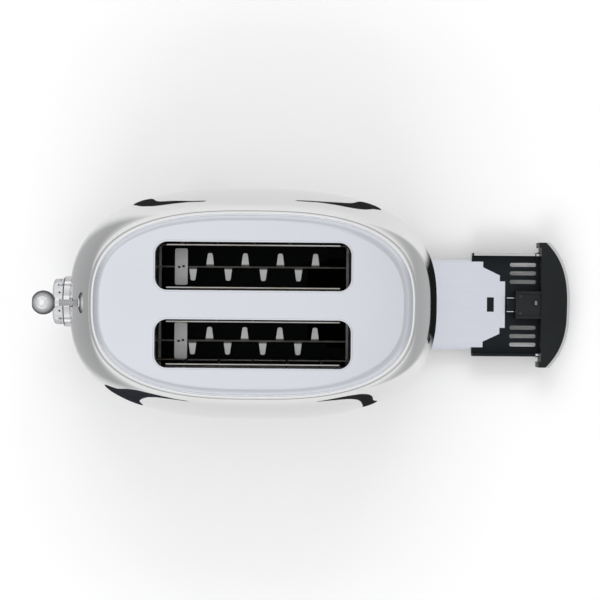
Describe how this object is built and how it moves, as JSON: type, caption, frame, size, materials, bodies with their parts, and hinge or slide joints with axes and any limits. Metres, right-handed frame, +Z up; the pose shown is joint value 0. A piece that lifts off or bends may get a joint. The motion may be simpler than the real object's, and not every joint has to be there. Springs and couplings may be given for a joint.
{
  "type": "two-slice toaster",
  "caption": "Toaster with a rounded polished shell, satin top plate with long bread slots, ball lever, end dial and a slide-out crumb tray.",
  "frame": {"origin": "on the floor under the middle of the body's footprint, at the underside of the feet", "axes": "+X from the dial end to the crumb tray end, +Y to the back, +Z up"},
  "size_m": [0.4575, 0.195, 0.1986],
  "materials": {
    "polished_steel": "mirror-polished pressed sheet",
    "satin_steel": "satin brushed sheet",
    "bright_trim": "bright chrome",
    "steel": "plain zinc-plated sheet",
    "wire": "drawn steel wire",
    "mica": "pressed mica board",
    "ribbon": "oxidised resistance ribbon",
    "copper": "enamelled copper winding",
    "dark_plastic": "fine-grained dark plastic",
    "white_plastic": "plain moulded plastic",
    "board": "coated circuit board",
    "rubber": "soft moulded rubber",
    "spring_steel": "spring wire"
  },
  "bodies": {
    "housing": {"outer_shell": "polished_steel", "top_plate": "satin_steel", "top_trim_ring": "bright_trim", "base_band": "bright_trim", "base_plate": "dark_plastic", "feet": "rubber", "foot_screws": "steel", "base_screws": "steel", "chassis_floor": "steel", "control_end_plate": "steel", "tray_end_plate": "steel", "chassis_screws": "steel", "heat_shield_rear": "steel", "heat_shield_front": "steel", "heater_board_rear_outer": "mica", "heater_board_rear_inner": "mica", "heater_board_front_outer": "mica", "heater_board_front_inner": "mica", "heater_ribbons": "ribbon", "rod_brackets": "steel", "guide_rods": "wire", "return_spring": "spring_steel", "magnet_frame": "steel", "magnet_coil": "copper", "circuit_board": "board", "board_holder": "dark_plastic", "potentiometer": "dark_plastic", "button_switches": "dark_plastic", "dial_collar": "bright_trim", "tray_rails": "dark_plastic", "tray_catch": "steel", "cord_gland": "dark_plastic"},
    "carriage": {"carriage_bracket": "steel", "bread_rack_rear": "satin_steel", "bread_rack_front": "satin_steel", "rack_cross_plates": "satin_steel", "lever_stem": "bright_trim", "lever_ball": "bright_trim", "keeper_plate": "steel"},
    "guide_rear_outer": {"guide_cage_rear_outer": "wire"},
    "guide_rear_inner": {"guide_cage_rear_inner": "wire"},
    "guide_front_outer": {"guide_cage_front_outer": "wire"},
    "guide_front_inner": {"guide_cage_front_inner": "wire"},
    "dial_knob": {"dial": "bright_trim", "dial_spindle": "steel"},
    "reheat_button": {"button_reheat": "bright_trim"},
    "cancel_button": {"button_cancel": "bright_trim"},
    "defrost_button": {"button_defrost": "bright_trim"},
    "bagel_button": {"button_bagel": "bright_trim"},
    "tray": {"tray_frame": "dark_plastic", "crumb_sheet": "satin_steel", "tray_cap": "dark_plastic", "tray_cap_trim": "bright_trim", "tray_pins": "bright_trim", "latch_box": "dark_plastic", "latch_cover": "dark_plastic"},
    "latch": {"latch_plunger": "dark_plastic"}
  },
  "joints": [
    {"name": "lever_slide", "type": "slide", "parent": "housing", "child": "carriage", "axis": [0, 0, 1], "range_m": [-0.048, 0], "stiffness_N_per_m": 60, "springref_m": 0.08, "deforming": ["return_spring"]},
    {"name": "guide_rear_outer_tilt", "type": "hinge", "parent": "housing", "child": "guide_rear_outer", "pos_m": [0, 0.04975, 0.048], "axis": [1, 0, 0], "range_deg": [0, 4.01]},
    {"name": "guide_rear_inner_tilt", "type": "hinge", "parent": "housing", "child": "guide_rear_inner", "pos_m": [0, 0.01075, 0.048], "axis": [1, 0, 0], "range_deg": [-4.01, 0]},
    {"name": "guide_front_inner_tilt", "type": "hinge", "parent": "housing", "child": "guide_front_inner", "pos_m": [0, -0.01075, 0.048], "axis": [1, 0, 0], "range_deg": [0, 4.01]},
    {"name": "guide_front_outer_tilt", "type": "hinge", "parent": "housing", "child": "guide_front_outer", "pos_m": [0, -0.04975, 0.048], "axis": [1, 0, 0], "range_deg": [-4.01, 0]},
    {"name": "dial_turn", "type": "hinge", "parent": "housing", "child": "dial_knob", "pos_m": [-0.16, 0, 0.056], "axis": [1, 0, 0], "range_deg": [-141, 94]},
    {"name": "reheat_press", "type": "slide", "parent": "housing", "child": "reheat_button", "axis": [1, 0, 0], "range_m": [0, 0.0015], "stiffness_N_per_m": 400, "springref_m": -0.0008},
    {"name": "cancel_press", "type": "slide", "parent": "housing", "child": "cancel_button", "axis": [1, 0, 0], "range_m": [0, 0.0015], "stiffness_N_per_m": 400, "springref_m": -0.0008},
    {"name": "defrost_press", "type": "slide", "parent": "housing", "child": "defrost_button", "axis": [1, 0, 0], "range_m": [0, 0.0015], "stiffness_N_per_m": 400, "springref_m": -0.0008},
    {"name": "bagel_press", "type": "slide", "parent": "housing", "child": "bagel_button", "axis": [1, 0, 0], "range_m": [0, 0.0015], "stiffness_N_per_m": 400, "springref_m": -0.0008},
    {"name": "tray_slide", "type": "slide", "parent": "housing", "child": "tray", "axis": [1, 0, 0], "range_m": [-0.128, 0.012]},
    {"name": "latch_press", "type": "slide", "parent": "tray", "child": "latch", "axis": [1, 0, 0], "range_m": [0, 0.005], "stiffness_N_per_m": 300, "springref_m": -0.001}
  ],
  "couplings": [
    {"joint": "guide_rear_outer_tilt", "follows": "lever_slide", "rad_per_m": -1.4544},
    {"joint": "guide_rear_inner_tilt", "follows": "lever_slide", "rad_per_m": 1.4544},
    {"joint": "guide_front_inner_tilt", "follows": "lever_slide", "rad_per_m": -1.4544},
    {"joint": "guide_front_outer_tilt", "follows": "lever_slide", "rad_per_m": 1.4544}
  ]
}
